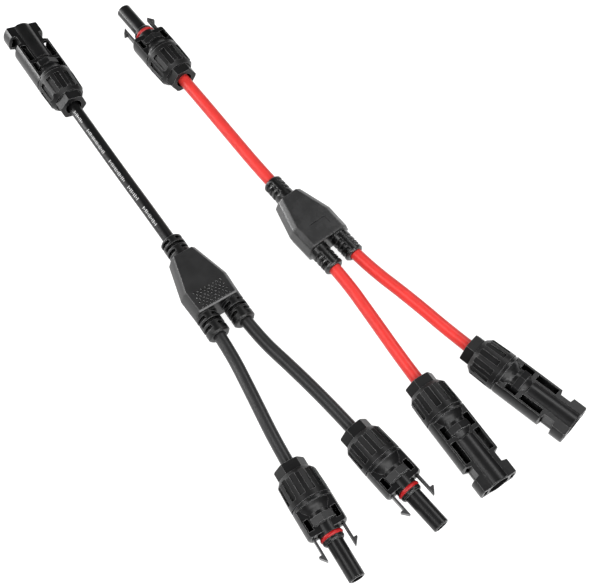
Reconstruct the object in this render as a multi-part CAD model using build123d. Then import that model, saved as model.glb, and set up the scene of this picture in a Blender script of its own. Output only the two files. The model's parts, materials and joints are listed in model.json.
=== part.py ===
from build123d import *
import math
import os

# A pair of Y-branch photovoltaic leads. Each lead has a trunk cable and two leg cables that meet in a
# moulded branch body, and a latching gland connector on every end: a receptacle with a pin contact or a
# plug with a socket contact. Millimetres, +Z up, +Y along the leads towards the trunk ends, floor at Z = 0.

# ---------------------------------------------------------------- driving dimensions

# Cable
CABLE_D = 6.0                 # outside of the sheath
CORE_D = 2.5                  # stranded conductor, 4 square millimetres
CORE_GAP = 0.05               # radial, conductor in its sheath or channel
SHEATH_GAP = 0.05             # radial, sheath in a moulded neck or seal

# Gland nut
NUT_D = 19.0                  # front band
NUT_REAR_D = 18.4             # where the shoulder starts
NUT_BAND = 2.7                # smooth band at the front
NUT_LENGTH = 19.2             # front edge to rear face
NUT_SEAM = 0.25               # gap between nut and housing flange
HEX_FLATS = 12.8              # across flats
HEX_LENGTH = 4.8
SHOULDER_LENGTH = 2.3         # cone between the fluted body and the hexagon
NUT_BORE_D = 8.4              # rear hole round the cable
NUT_WALL = 1.4                # fluted body outside the thread
NUT_CAVITY_D = 13.8           # room round the clamp claw
NUT_CONE_LENGTH = 4.0         # cone that closes the claw
CLAW_ROOM = 7.2               # from the spigot's end to the back of that cone
SPIGOT_CLEAR = 0.4            # spigot's end to the step in the nut
FLUTE_COUNT = 12
FLUTE_WIDTH = 2.7
FLUTE_DEPTH = 0.55
HEX_CHAMFER = 0.4

# Housing rear, the same on receptacle and plug
FLANGE_STEP = 0.3             # radial, flange below the nut's band
FLANGE_LENGTH = 1.5
SPIGOT_LENGTH = 8.2           # threaded spigot under the nut
THREAD_GAP = 0.5              # radial, spigot to nut, taken up by the thread
SPIGOT_WALL = 1.7
HUB_CONE_D = 16.0             # large end of the bowl in front of the flange
HUB_BOWL = (3.3, 15.0)        # where the bowl turns in, and its diameter there
HUB_CONE_END = 5.5
HUB_D = 12.2
HUB_BEYOND = 0.3              # hub in front of the collar
COLLAR_AT = 7.2               # raised eight-sided collar on the hub
COLLAR_LENGTH = 3.3
COLLAR_FLATS = 13.2
WING_FLAT_Z = 4.3             # half height of the flat-topped wings
WING_WALL_Y = 7.7             # outer side of the windows in the wings

# Receptacle front
MOUTH_AT = 37.9               # front face
BARREL_D = 12.0               # at the mouth
BARREL_REAR_D = 11.2
WAIST_D = 9.6                 # between hub and barrel
WAIST_AT = 13.2
BARREL_AT = 13.7
MOUTH_D = 10.1                # entry for the plug's collar and ring
MOUTH_DEPTH = 8.9
NOSE_BORE_D = 7.9             # deeper bore for the plug's nose
NOSE_BORE_FLOOR = 12.5
WINDOW_INNER_Y = 4.7
SHORT_WINDOW = (4.8, 11.0)
LONG_WINDOW = (13.0, 24.0)
NOTCH_REAR = 24.7             # latch notch, its rear edge on the outside
NOTCH_SLOPES = (1.1, 0.7)     # its rear and front ends lean outwards by these
NOTCH_FLOOR_Y = 6.2
CHANNEL_Y = (6.1, 8.0)        # latch arm channel, seen as a square hole in the front face
CHANNEL_HALF_Z = 2.6
EDGE_CHAMFER = 0.4

# Plug front
WING_FRONT = 14.0
WING_ROUND = 1.3
PLUG_WINDOW = (6.2, 11.6)
PLUG_WINDOW_Y = 5.4
NECK_D = 9.9
RING_AT = 16.5                # O-ring centre
RING_SECTION = 1.9
RING_GAP = 0.05
RING_SQUEEZE = 0.3            # ring stands out of the mouth's radius by this
COLLAR_FRONT = 19.2
COLLAR_TAPER = (0.7, 0.5)     # along and across the axis
NOSE_D = 7.5
NOSE_TIP = 37.0
NOSE_CHAMFER = 0.4
NOSE_MOUTH_D = 5.3            # hole in the nose, round the socket contact

# Latch arms
ARM_INNER_Y = 6.6
ARM_THICK = 1.0
ARM_HALF_Z = 1.4
ARM_PIVOT = 12.9
ARM_TIP = 25.0
BARB_REAR = 21.5              # face that holds behind the notch
BARB_HEIGHT = 1.5
BARB_LAND = 0.7               # from that face to the top of the ramp
ARM_NOSE = 0.3                # thickness at the tip
LATCH_PLAY = 0.4              # barb in the notch when mated
ARM_GAP = 0.08                # round the arm's root in its seat
ARM_RELIEF = 0.5              # room for the arm to spring inwards

# Contacts
SOCKET_TUBE_D = 5.1
SOCKET_BORE_D = 4.0
SOCKET_RECESS = 1.4           # contact behind the nose tip
SOCKET_DEPTH = 15.0
PIN_D = 4.0
PIN_TIP = 30.5
PIN_ROUND = 1.2
PIN_SHOULDER_D = 5.0          # through the housing's wall, behind the free length of the pin
SHOULDER_PROUD = 0.3          # shoulder in front of that wall
RETAIN_AT = 8.5               # snap collar of the contact
RETAIN_LENGTH = 1.5
RETAIN_D = 6.8
BODY_D = 5.2
CRIMP_AT = 0.5
CRIMP_LENGTH = 5.5
CRIMP_D = 4.6
CONTACT_GAP = 0.05            # radial, contact in the housing
CRIMP_ROOM = 0.5              # radial, round the contact's body in the rear bore

# Seal and clamp claw
SEAL_FRONT = -1.2
SEAL_LENGTH = 7.0
SEAL_GAP = 0.15               # radial, seal in the spigot
SHEATH_PROUD = 0.6            # sheath's end in front of the seal
SEAL_RIB = 0.35
SEAL_RIBS = 3
CLAW_FRONT = -8.7
CLAW_RING = 2.4
CLAW_D = 13.4
CLAW_BORE_GAP = 0.15          # radial, claw on the cable
CLAW_CONE_GAP = 0.15          # claw to the nut's cone
CLAW_TIP_WALL = 0.75
CLAW_FINGERS = 6
CLAW_SLIT = 0.8

# Branch bodies: black, then red
BODY_LENGTH = {"black": 31.5, "red": 30.3}
SHOULDER_AT = {"black": 19.5, "red": 17.0}
PARTING_WIDTHS = {"black": (15.4, 25.6, 24.6), "red": (15.9, 25.2, 24.8)}  # narrow end, shoulder, wide end
BRANCH_THICK = {"black": 14.0, "red": 13.0}
NECK_OUTER_D = {"black": 10.9, "red": 9.7}
TRUNK_NECK = {"black": 11.6, "red": 13.0}
LEG_NECK = {"black": 12.0, "red": 12.4}
LEG_PITCH = {"black": 13.5, "red": 12.2}
NECK_SLOTS = {"black": 3, "red": 3}
SLOT_WIDTH = 1.6
SLOT_RIB = 1.2
NECK_RINGS = {"black": (1.6, 3.4), "red": (1.9, 1.9)}  # plain ring at the neck's end, trunk and legs
NECK_CORE_D = 7.9             # what stays inside the slots
BRIDGE_WIDTH = 3.4            # solid spine between slots
BODY_LEAN = {"black": 1.8, "red": 2.1}         # of a long side, from the parting plane to the top
BODY_BEVEL = {"black": (1.0, 2.0), "red": (1.7, 1.8)}  # along the long sides, sideways and down
BODY_CORNER = 3.0             # where the long sides turn
BODY_END_ROUND = 0.7          # round the two ends
NECK_BEVEL = 0.8
NECK_OVERLAP = 3.0            # of a neck into the body

# Splice inside the branch body
FERRULE_AT = 6.0              # from the narrow end
FERRULE_LENGTH = 10.0
FERRULE_WALL = 0.9
CORE_PITCH = 3.0              # leg conductors side by side in the ferrule
CORE_BEND_R = 4.0
SHEATH_IN_TRUNK = 4.0         # where each sheath ends, from the narrow end
CORE_BARE = 3.0               # straight bare conductor beyond a leg sheath
CORE_LEAD = 1.5               # straight, outside the ferrule
CORE_STOP = 0.5               # conductor's end to the middle of the ferrule

# Routes of the cables, from the contact in the connector to the splice in the branch body.
# The first run of each lies on its connector's axis and the last one on its neck's axis.
ROUTES = {
    "black_trunk": [(-50.1, 124.7, 9.5), (-49.1, 94.6, 9.5), (-47.7, 63.1, 8.3),
                    (-45.8, 29.6, 7.0), (-44.8, -0.4, 7.0)],
    "black_left": [(-57.2, -128.0, 9.5), (-56.45, -102.0, 9.5), (-52.9, -72.4, 8.4),
                   (-50.1, -47, 7.0), (-50.7, -23.6, 7.0)],
    "black_right": [(-21.6, -128.2, 9.5), (-25.3, -102.5, 9.5), (-30.4, -73.9, 8.4),
                    (-36.4, -47.1, 7.0), (-37.2, -23.1, 7.0)],
    "red_trunk": [(4.1, 111.2, 9.5), (6.5, 83.3, 9.5), (9.0, 55.6, 8.1),
                  (11.65, 26.9, 6.5), (14.7, 2.1, 6.5)],
    "red_left": [(13.5, -124.6, 9.5), (12.55, -98.6, 9.5), (13.3, -69.9, 8.2),
                 (14.0, -42.3, 6.5), (11.3, -20.45, 6.5)],
    "red_right": [(47.4, -121.4, 9.5), (39.7, -96.6, 9.5), (34.0, -69.9, 8.2),
                  (26.1, -40.8, 6.5), (23.4, -19, 6.5)],
}
ARC_SHARE = 0.45              # of the shorter run, taken up by each bend

# Turn of each connector about its own axis, degrees, and what it is
ROLLS = {"black_trunk": 17, "black_left": 3, "black_right": 5,
         "red_trunk": 3, "red_left": 0, "red_right": -1}
RECEPTACLES = ("black_trunk", "red_left", "red_right")
PLUGS = ("red_trunk", "black_left", "black_right")

# ---------------------------------------------------------------- sizes worked out from them

NUT_REAR = -NUT_LENGTH
HEX_FRONT = NUT_REAR + HEX_LENGTH
SHOULDER_FRONT = HEX_FRONT + SHOULDER_LENGTH
THREAD_D = NUT_REAR_D - 2 * NUT_WALL
CONE_REAR = -(SPIGOT_LENGTH + CLAW_ROOM)
CONE_FRONT = CONE_REAR + NUT_CONE_LENGTH
SPIGOT_D = THREAD_D - 2 * THREAD_GAP
SPIGOT_BORE_D = SPIGOT_D - 2 * SPIGOT_WALL
SHEATH_END = SEAL_FRONT + SHEATH_PROUD
CRIMP_END = CRIMP_AT + CRIMP_LENGTH
REAR_BORE_D = BODY_D + 2 * CRIMP_ROOM
NOTCH_FRONT = MOUTH_AT - (BARB_REAR - WING_FRONT) + LATCH_PLAY
FLANGE_D = NUT_D - 2 * FLANGE_STEP
PIN_FROM = NOSE_BORE_FLOOR + SHOULDER_PROUD
RING_OUTER_R = MOUTH_D / 2 + RING_SQUEEZE
FAR = 60.0                    # longer than any connector
CUT = 1.0                     # how far a cutting solid runs past a face


# ---------------------------------------------------------------- helpers

def turned(*corners):
    """Solid of revolution about X from (x, radius) corners."""
    outline = Polyline([(x, 0, r) for x, r in corners], close=True)
    return revolve(make_face(outline.edges()), Axis.X)


def rod(x_from, x_to, diameter):
    """Round bar along X."""
    return turned((x_from, 0), (x_to, 0), (x_to, diameter / 2), (x_from, diameter / 2))


def block(x_span, y_span, z_span):
    """Box between the given limits."""
    spans = (x_span, y_span, z_span)
    size = [high - low for low, high in spans]
    middle = [(high + low) / 2 for low, high in spans]
    return Pos(*middle) * Box(*size)


def both_sides(piece):
    """The piece and its mirror image across the middle plane of the connector."""
    return piece + mirror(piece, Plane.XZ)


def bends(route):
    """Arc radius at each inner point of a route."""
    points = [Vector(*p) for p in route]
    radii = []
    for before, corner, after in zip(points, points[1:], points[2:]):
        arriving, leaving = corner - before, after - corner
        half_turn = math.radians(arriving.get_angle(leaving)) / 2
        shorter = min(arriving.length, leaving.length)
        radii.append(ARC_SHARE * shorter / math.tan(half_turn))
    return radii


def swept(points, radii, outer, inner=0.0):
    """Round bar or tube of the given diameters along straight runs joined by arcs."""
    path = FilletPolyline(*points, radius=radii)
    section = Circle(outer / 2)
    if inner:
        section -= Circle(inner / 2)
    start = Plane(origin=path @ 0, z_dir=path % 0)
    return sweep(start * section, path=path)


# ---------------------------------------------------------------- connector pieces
# Each is modelled on its own axis: +X towards the mating end, X = 0 at the seam between nut and flange.

def gland_nut():
    """Cap nut with flutes, shoulder, hexagon and the cone that closes the claw."""
    barrel = turned(
        (-NUT_SEAM, 0), (-NUT_SEAM, NUT_D / 2), (-NUT_BAND, NUT_D / 2),
        (SHOULDER_FRONT, NUT_REAR_D / 2), (HEX_FRONT, HEX_FLATS / math.sqrt(3)),
        (HEX_FRONT, 0))
    flute_reach = (SHOULDER_FRONT - SHOULDER_LENGTH / 2, -NUT_BAND)
    floor = NUT_REAR_D / 2 - FLUTE_DEPTH
    for number in range(FLUTE_COUNT):
        flute = block(flute_reach, (-FLUTE_WIDTH / 2, FLUTE_WIDTH / 2), (floor, NUT_D))
        barrel -= Rot(360 / FLUTE_COUNT * (number + 0.5), 0, 0) * flute
    hexagon = extrude(Plane.YZ.offset(NUT_REAR) * RegularPolygon(HEX_FLATS / 2, 6, major_radius=False),
                      HEX_LENGTH + SHOULDER_LENGTH / 2)
    corner = HEX_FLATS / math.sqrt(3)
    hexagon &= turned((NUT_REAR, 0), (NUT_REAR, corner - HEX_CHAMFER), (NUT_REAR + HEX_CHAMFER, corner),
                      (SHOULDER_FRONT, corner), (SHOULDER_FRONT, 0))
    step = -SPIGOT_LENGTH - SPIGOT_CLEAR
    cavity = turned(
        (0, 0), (0, THREAD_D / 2), (step, THREAD_D / 2),
        (step, NUT_CAVITY_D / 2), (CONE_FRONT, NUT_CAVITY_D / 2),
        (CONE_REAR, NUT_BORE_D / 2), (NUT_REAR - CUT, NUT_BORE_D / 2), (NUT_REAR - CUT, 0))
    return barrel + hexagon - cavity


def clamp_claw():
    """Ring with tapering fingers that the nut's cone bends onto the cable."""
    bore = CABLE_D / 2 + CLAW_BORE_GAP
    slope = (NUT_CAVITY_D - NUT_BORE_D) / 2 / NUT_CONE_LENGTH
    tip_r = bore + CLAW_TIP_WALL
    ring_rear = CLAW_FRONT - CLAW_RING
    tip_x = ring_rear - (CLAW_D / 2 - tip_r) / slope + CLAW_CONE_GAP
    body = turned((CLAW_FRONT, bore), (CLAW_FRONT, CLAW_D / 2), (ring_rear, CLAW_D / 2),
                  (tip_x, tip_r), (tip_x, bore))
    for number in range(CLAW_FINGERS):
        slit = block((tip_x - CUT, ring_rear + CLAW_RING / 3), (-CLAW_SLIT / 2, CLAW_SLIT / 2), (0, CLAW_D))
        body -= Rot(360 / CLAW_FINGERS * number, 0, 0) * slit
    return body


def cable_seal():
    """Ribbed rubber sleeve between the cable and the spigot."""
    rear = SEAL_FRONT - SEAL_LENGTH
    outer = SPIGOT_BORE_D / 2 - SEAL_GAP
    pitch = SEAL_LENGTH / SEAL_RIBS
    corners = [(rear, CABLE_D / 2 + SHEATH_GAP)]
    for number in range(SEAL_RIBS):
        start = rear + pitch * number
        corners += [(start, outer - SEAL_RIB), (start + pitch / 2, outer)]
    corners += [(SEAL_FRONT, outer - SEAL_RIB), (SEAL_FRONT, CABLE_D / 2 + SHEATH_GAP)]
    return turned(*corners)


def contact_rear():
    """Crimp barrel, body and snap collar, the same on pin and socket."""
    blank = turned(
        (CRIMP_AT, 0), (CRIMP_AT, CRIMP_D / 2), (CRIMP_END, CRIMP_D / 2), (CRIMP_END, BODY_D / 2),
        (RETAIN_AT, BODY_D / 2), (RETAIN_AT, RETAIN_D / 2), (RETAIN_AT + RETAIN_LENGTH, RETAIN_D / 2),
        (RETAIN_AT + RETAIN_LENGTH, 0))
    return blank - rod(CRIMP_AT - CUT, CRIMP_END, CORE_D + 2 * CORE_GAP)


def pin_contact():
    """Contact pin with a rounded tip and a shoulder in the housing's wall."""
    shank = rod(RETAIN_AT, PIN_TIP, PIN_D)
    tip = shank.edges().filter_by(GeomType.CIRCLE).sort_by(Axis.X)[-1]
    return contact_rear() + fillet(tip, PIN_ROUND) + rod(RETAIN_AT, PIN_FROM, PIN_SHOULDER_D)


def socket_contact():
    """Contact tube that takes the pin."""
    front = NOSE_TIP - SOCKET_RECESS
    tube = rod(RETAIN_AT, front, SOCKET_TUBE_D)
    return contact_rear() + tube - rod(front - SOCKET_DEPTH, front + CUT, SOCKET_BORE_D)


def wings(front, finish, amount):
    """Two flat-topped wings with curved outer sides, as one slab through the axis."""
    envelope = rod(FLANGE_LENGTH / 2, front, NUT_D)
    rim = envelope.edges().filter_by(GeomType.CIRCLE).sort_by(Axis.X)[-1]
    return finish(rim, amount) & block((0, front), (-NUT_D, NUT_D), (-WING_FLAT_Z, WING_FLAT_Z))


def housing_rear(front):
    """Flange, threaded spigot, bowl and collar, with a plain hub up to the given place."""
    bowl_at, bowl_d = HUB_BOWL
    shell = turned(
        (-SPIGOT_LENGTH, 0), (-SPIGOT_LENGTH, SPIGOT_D / 2), (0, SPIGOT_D / 2), (0, FLANGE_D / 2),
        (FLANGE_LENGTH, FLANGE_D / 2), (FLANGE_LENGTH, HUB_CONE_D / 2), (bowl_at, bowl_d / 2),
        (HUB_CONE_END, HUB_D / 2), (front, HUB_D / 2), (front, 0))
    collar = extrude(Plane.YZ.offset(COLLAR_AT) * RegularPolygon(COLLAR_FLATS / 2, 8, major_radius=False),
                     COLLAR_LENGTH)
    return shell + collar


def housing_bores():
    """Seal seat, passage for the crimped contact and the groove of its snap collar."""
    groove = (RETAIN_AT - CONTACT_GAP, RETAIN_AT + RETAIN_LENGTH + CONTACT_GAP)
    return (rod(-FAR, SEAL_FRONT, SPIGOT_BORE_D) + rod(SEAL_FRONT - CUT, RETAIN_AT, REAR_BORE_D)
            + rod(*groove, RETAIN_D + 2 * CONTACT_GAP))


def receptacle_housing():
    """Housing round the pin contact: barrel, windowed wings, latch notches and channels."""
    hub_front = COLLAR_AT + COLLAR_LENGTH + HUB_BEYOND
    body = wings(MOUTH_AT, chamfer, EDGE_CHAMFER)
    for window in (SHORT_WINDOW, LONG_WINDOW):
        body -= both_sides(block(window, (WINDOW_INNER_Y, WING_WALL_Y), (-NUT_D, NUT_D)))
    rear_slope, front_slope = NOTCH_SLOPES
    rear_out, front_out = NOTCH_REAR, NOTCH_FRONT + front_slope
    notch_outline = Polyline([
        (rear_out + rear_slope, NOTCH_FLOOR_Y), (NOTCH_FRONT, NOTCH_FLOOR_Y),
        (front_out, NUT_D / 2), (front_out, NUT_D), (rear_out, NUT_D), (rear_out, NUT_D / 2)], close=True)
    notch = extrude(make_face(notch_outline.edges()), NUT_D / 2, both=True)
    body -= both_sides(notch)
    body += housing_rear(hub_front)
    body += turned((hub_front, 0), (hub_front, HUB_D / 2), (WAIST_AT, WAIST_D / 2),
                   (BARREL_AT, BARREL_REAR_D / 2), (MOUTH_AT - EDGE_CHAMFER, BARREL_D / 2),
                   (MOUTH_AT, BARREL_D / 2 - EDGE_CHAMFER), (MOUTH_AT, 0))
    channel = block((LONG_WINDOW[1] - CUT, FAR), CHANNEL_Y, (-CHANNEL_HALF_Z, CHANNEL_HALF_Z))
    bores = (housing_bores() + rod(0, NOSE_BORE_FLOOR + CUT, PIN_SHOULDER_D + 2 * CONTACT_GAP)
             + rod(NOSE_BORE_FLOOR, FAR, NOSE_BORE_D) + rod(MOUTH_AT - MOUTH_DEPTH, FAR, MOUTH_D))
    return body - both_sides(channel) - bores


def plug_housing():
    """Housing round the socket contact: wings, web, neck with ring groove, collar and nose."""
    body = wings(WING_FRONT, fillet, WING_ROUND)
    body -= both_sides(block(PLUG_WINDOW, (PLUG_WINDOW_Y, WING_WALL_Y), (-NUT_D, NUT_D)))
    body += housing_rear(COLLAR_AT + COLLAR_LENGTH + HUB_BEYOND)
    groove_half = RING_SECTION / 2 + RING_GAP
    groove_r = RING_OUTER_R - RING_SECTION
    neck, nose = NECK_D / 2, NOSE_D / 2
    taper_along, taper_across = COLLAR_TAPER
    body += turned(
        (COLLAR_AT, 0), (COLLAR_AT, neck), (RING_AT - groove_half, neck),
        (RING_AT - groove_half, groove_r - RING_GAP), (RING_AT + groove_half, groove_r - RING_GAP),
        (RING_AT + groove_half, neck), (COLLAR_FRONT - taper_along, neck), (COLLAR_FRONT, neck - taper_across),
        (COLLAR_FRONT, nose), (NOSE_TIP - NOSE_CHAMFER, nose), (NOSE_TIP, nose - NOSE_CHAMFER),
        (NOSE_TIP, 0))
    seat = Pos(ARM_PIVOT, ARM_INNER_Y + ARM_THICK / 2, 0) * Cylinder(
        ARM_THICK / 2 + ARM_GAP, 2 * (ARM_HALF_Z + ARM_GAP))
    slot = block((ARM_PIVOT, FAR), (ARM_INNER_Y - ARM_RELIEF, ARM_INNER_Y + ARM_THICK + ARM_GAP),
                 (-ARM_HALF_Z - ARM_GAP, ARM_HALF_Z + ARM_GAP))
    body -= both_sides(seat + slot)
    return body - housing_bores() - rod(0, NOSE_TIP + CUT, NOSE_MOUTH_D)


def o_ring():
    """Ring in the groove of the plug's neck."""
    ring = Torus(RING_OUTER_R - RING_SECTION / 2, RING_SECTION / 2)
    return Pos(RING_AT, 0, 0) * Rot(0, 90, 0) * ring


def latch_arm():
    """Springing arm on the +Y side, with a round root and an outward barb."""
    inner, outer = ARM_INNER_Y, ARM_INNER_Y + ARM_THICK
    outline = Polyline([
        (ARM_PIVOT, inner), (ARM_TIP, inner), (ARM_TIP, inner + ARM_NOSE),
        (BARB_REAR + BARB_LAND, outer + BARB_HEIGHT), (BARB_REAR, outer + BARB_HEIGHT),
        (BARB_REAR, outer), (ARM_PIVOT, outer)], close=True)
    blade = extrude(make_face(outline.edges()), ARM_HALF_Z, both=True)
    root = Pos(ARM_PIVOT, inner + ARM_THICK / 2, 0) * Cylinder(ARM_THICK / 2, 2 * ARM_HALF_Z)
    return blade + root


# ---------------------------------------------------------------- branch body
# Its own axis: +X from the trunk to the legs, X = 0 at the narrow end, Z = 0 at the cables' level.

def neck(colour, start, end, offset, ring):
    """Slotted strain relief between start and end, with a plain ring of the given length at its far end.

    The slots leave a spine at the top and bottom, and on the black lead every other row is turned a quarter.
    """
    outer = NECK_OUTER_D[colour]
    away = 1 if end > start else -1
    bar = Pos(0, offset, 0) * turned(
        (start, 0), (start, outer / 2), (end - away * NECK_BEVEL, outer / 2),
        (end, outer / 2 - NECK_BEVEL), (end, 0))
    pitch = SLOT_WIDTH + SLOT_RIB
    for row in range(NECK_SLOTS[colour]):
        first = end - away * (ring + pitch * row)
        last = first - away * SLOT_WIDTH
        slot = rod(min(first, last), max(first, last), outer + 2 * CUT) - rod(-FAR, FAR, NECK_CORE_D)
        spine = block((-FAR, FAR), (-BRIDGE_WIDTH / 2, BRIDGE_WIDTH / 2), (-FAR, FAR))
        turn = 90 if colour == "black" and row % 2 else 0
        bar -= Pos(0, offset, 0) * Rot(turn, 0, 0) * (slot - spine)
    return bar


def half_body(colour):
    """Upper half of a moulded body, widest at the parting plane and bevelled along its long sides."""
    length, half, lean = BODY_LENGTH[colour], BRANCH_THICK[colour] / 2, BODY_LEAN[colour]
    narrow, wide, end = (width / 2 for width in PARTING_WIDTHS[colour])
    turn = SHOULDER_AT[colour]
    first = narrow - lean * (wide - narrow) / turn
    last = end + lean * (end - wide) / (length - turn)
    outline = Polyline([
        (-lean, -first), (turn, -wide), (length + lean, -last),
        (length + lean, last), (turn, wide), (-lean, first)], close=True)
    slab = extrude(make_face(outline.edges()), half, taper=math.degrees(math.atan(lean / half)))
    turns = slab.edges().filter_by(
        lambda edge: abs(edge.tangent_at(0).Z) > 0.5 and abs(edge.center().X - turn) < lean)
    slab = fillet(turns, BODY_CORNER)
    slab &= Pos(length / 2, 0, half / 2) * Box(length, 2 * wide, half)
    top = slab.faces().sort_by(Axis.Z)[-1]
    long_sides = top.edges().filter_by(lambda edge: abs(edge.tangent_at(0.5).X) > 0.2)
    sideways, down = BODY_BEVEL[colour]
    return chamfer(long_sides, length=sideways, length2=down, reference=top)


def branch_shell(colour):
    """Moulded body with one trunk neck and two leg necks, before its channels are cut."""
    length = BODY_LENGTH[colour]
    upper = half_body(colour)
    slab = upper + mirror(upper, Plane.XY)
    for side in (Axis.X, -Axis.X):
        slab = fillet(slab.faces().sort_by(side)[-1].edges(), BODY_END_ROUND)
    trunk_ring, leg_ring = NECK_RINGS[colour]
    slab += neck(colour, NECK_OVERLAP, -TRUNK_NECK[colour], 0, trunk_ring)
    for side in (1, -1):
        slab += neck(colour, length - NECK_OVERLAP, length + LEG_NECK[colour], side * LEG_PITCH[colour] / 2,
                     leg_ring)
    return slab


def splice_ferrule(spare=0.0):
    """Crimped sleeve: two leg conductors side by side, one trunk conductor in the other end."""
    radius = CORE_D / 2 + FERRULE_WALL + spare
    section = SlotCenterToCenter(CORE_PITCH, 2 * radius)
    start = Plane(origin=(FERRULE_AT - spare, 0, 0), x_dir=(0, 1, 0), z_dir=(1, 0, 0))
    return extrude(start * section, FERRULE_LENGTH + 2 * spare)


# ---------------------------------------------------------------- assembly

def connector_place(name):
    """Place of a connector, from the first run of its cable and its turn about that run."""
    inner, outer = (Vector(*p) for p in ROUTES[name][:2])
    forward = (inner - outer).normalized()
    level = Plane(origin=inner - forward * SHEATH_END, x_dir=forward, z_dir=(0, 0, 1))
    return level.location * Rot(ROLLS[name], 0, 0)


def branch_frame(colour):
    """Frame of a branch body, from the last run of its trunk cable."""
    before, last = (Vector(*p) for p in ROUTES[colour + "_trunk"][-2:])
    along = (last - before).normalized()
    return Plane(origin=last - along * SHEATH_IN_TRUNK, x_dir=along, z_dir=(0, 0, 1))


def core_route(name):
    """Points and bend radii of a conductor, from its crimp to the splice ferrule."""
    colour, arm = name.split("_")
    route = [Vector(*p) for p in ROUTES[name]]
    forward = (route[0] - route[1]).normalized()
    inward = (route[-1] - route[-2]).normalized()
    start = route[0] + forward * (CRIMP_END - SHEATH_END)
    frame = branch_frame(colour)
    middle = FERRULE_AT + FERRULE_LENGTH / 2
    if arm == "trunk":
        end = frame.from_local_coords(Vector(middle - CORE_STOP, 0, 0))
        return [start] + route[1:-1] + [end], bends(ROUTES[name])
    side = 1 if frame.to_local_coords(route[-1]).Y > 0 else -1
    lane = side * CORE_PITCH / 2
    mouth = frame.from_local_coords(Vector(FERRULE_AT + FERRULE_LENGTH + CORE_LEAD, lane, 0))
    end = frame.from_local_coords(Vector(middle + CORE_STOP, lane, 0))
    turn = route[-1] + inward * CORE_BARE
    return [start] + route[1:-1] + [turn, mouth, end], bends(ROUTES[name]) + [CORE_BEND_R] * 2


def build_connector(name):
    """All pieces of one connector, in place."""
    place = connector_place(name)
    pieces = {"gland_nut": gland_nut(), "clamp_claw": clamp_claw(), "cable_seal": cable_seal()}
    if name in RECEPTACLES:
        pieces["housing"] = receptacle_housing()
        pieces["pin_contact"] = pin_contact()
    else:
        pieces["housing"] = plug_housing()
        pieces["socket_contact"] = socket_contact()
        pieces["o_ring"] = o_ring()
        pieces["latch_arm_a"] = latch_arm()
        pieces["latch_arm_b"] = mirror(latch_arm(), Plane.XZ)
    return {f"{name}_{piece}": place * solid for piece, solid in pieces.items()}


def build_lead(colour):
    """Cables, conductors, ferrule and branch body of one lead, in place."""
    frame = branch_frame(colour)
    nodes = {}
    shell = frame.location * branch_shell(colour)
    ferrule = frame.location * splice_ferrule()
    shell -= frame.location * splice_ferrule(CORE_GAP)
    for arm in ("trunk", "left", "right"):
        name = f"{colour}_{arm}"
        radii = bends(ROUTES[name])
        print(name, "bend radii", [round(r) for r in radii])
        sheath = swept(ROUTES[name], radii, CABLE_D, CORE_D + 2 * CORE_GAP)
        points, core_radii = core_route(name)
        core = swept(points, core_radii, CORE_D)
        channel = swept(points, core_radii, CORE_D + 2 * CORE_GAP)
        shell -= swept(ROUTES[name], radii, CABLE_D + 2 * SHEATH_GAP)
        shell -= channel
        ferrule -= channel
        nodes[f"{name}_cable"] = sheath
        nodes[f"{name}_conductor"] = core
    nodes[f"{colour}_branch_body"] = shell
    nodes[f"{colour}_splice_ferrule"] = ferrule
    return nodes


def main():
    """Build every piece and write one file for each."""
    os.makedirs("parts", exist_ok=True)
    nodes = {}
    for name in RECEPTACLES + PLUGS:
        nodes.update(build_connector(name))
    for colour in ("black", "red"):
        nodes.update(build_lead(colour))
    for name, solid in nodes.items():
        export_step(solid, f"parts/{name}.step")


if __name__ == "__main__":
    main()
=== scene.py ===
"""Looks of a pair of Y-branch solar cable leads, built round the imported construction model."""

import json
import logging
import math
from dataclasses import dataclass
from enum import Enum
from functools import reduce
from typing import Any, Sequence

import bmesh
import bpy
from mathutils import Matrix, Vector


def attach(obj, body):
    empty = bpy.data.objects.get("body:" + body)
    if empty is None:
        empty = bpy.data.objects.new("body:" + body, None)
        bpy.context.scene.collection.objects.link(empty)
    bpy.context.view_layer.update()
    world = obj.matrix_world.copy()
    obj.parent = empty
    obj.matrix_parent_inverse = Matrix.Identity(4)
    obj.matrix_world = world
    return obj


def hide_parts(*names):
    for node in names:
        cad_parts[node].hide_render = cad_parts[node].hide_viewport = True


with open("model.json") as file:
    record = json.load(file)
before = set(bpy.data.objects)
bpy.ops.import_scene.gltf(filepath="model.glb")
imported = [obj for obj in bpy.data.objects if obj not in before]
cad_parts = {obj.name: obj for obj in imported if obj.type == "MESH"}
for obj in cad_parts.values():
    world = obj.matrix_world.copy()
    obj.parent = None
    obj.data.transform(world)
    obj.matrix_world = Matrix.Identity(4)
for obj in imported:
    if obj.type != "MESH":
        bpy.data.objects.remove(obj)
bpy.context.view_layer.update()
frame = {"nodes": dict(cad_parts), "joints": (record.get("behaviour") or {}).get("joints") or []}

logging.basicConfig(level=logging.INFO, format="%(message)s")
LOG = logging.getLogger("leads")

MM = 0.001
UP = Vector((0, 0, 1))
WELD_REACH = 1e-6
CREASE = math.radians(24)
SHADER_SAMPLES = 6
# Colour of the painted shade in slots, corners and grooves.
PAINTED_SHADE_BLACK = (0.002, 0.002, 0.002, 1.0)
Colour3 = tuple[float, float, float]
Point = tuple[float, float, float]
Span = tuple[float, float]


# ---------------------------------------------------------------- named choices

class LeadColour(Enum):
    """The two leads, by the colour of their sheaths."""

    BLACK = "black"
    RED = "red"


class Arm(Enum):
    """The three cables of a lead."""

    TRUNK = "trunk"
    LEFT = "left"
    RIGHT = "right"


class Half(Enum):
    """The two kinds of connector."""

    RECEPTACLE = "receptacle"
    PLUG = "plug"


# ---------------------------------------------------------------- shader maths

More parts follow.
